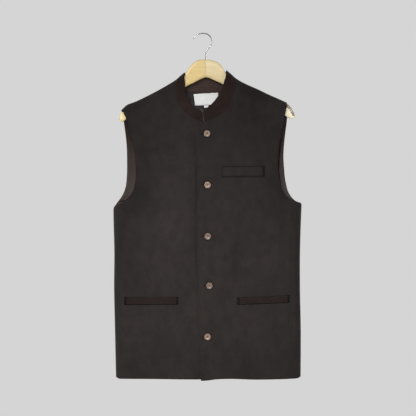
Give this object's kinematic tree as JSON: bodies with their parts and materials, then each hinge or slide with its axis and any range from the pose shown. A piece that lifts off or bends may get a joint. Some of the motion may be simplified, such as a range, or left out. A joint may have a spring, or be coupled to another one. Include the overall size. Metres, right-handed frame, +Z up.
{
  "type": "nehru jacket on hanger",
  "caption": "Sleeveless straight-hemmed jacket with a stand collar, buttoned front, breast welt and lower welt pockets, hanging flat on a jointed wooden hanger with a steel hook.",
  "frame": {"origin": "inner crown of the hanger's steel hook, where a rod carries it", "axes": "+Z up; the jacket's buttoned front faces -Y; +X is the wearer's left"},
  "size_m": [0.4716, 0.0728, 0.8717],
  "materials": {
    "body_wool": "matte brushed wool",
    "collar_wool": "matte brushed wool",
    "welt_wool": "matte brushed wool",
    "lining": "satin lining",
    "label_ribbon": "woven ribbon",
    "button_horn": "horn look, satin",
    "wood": "clear satin lacquer",
    "steel": "polished wire"
  },
  "bodies": {
    "root": {"front_right": "body_wool", "front_left": "body_wool", "back": "body_wool", "collar": "collar_wool", "breast_welt": "body_wool", "pocket_welt_right": "welt_wool", "pocket_welt_left": "welt_wool", "neck_facing": "lining", "armhole_facing_right": "lining", "armhole_facing_left": "lining", "label": "label_ribbon", "size_tab": "label_ribbon", "button_1": "button_horn", "button_2": "button_horn", "button_3": "button_horn", "button_4": "button_horn", "button_5": "button_horn", "hanger_arm_right": "wood", "hanger_arm_left": "wood", "hook": "steel"}
  },
  "joints": []
}
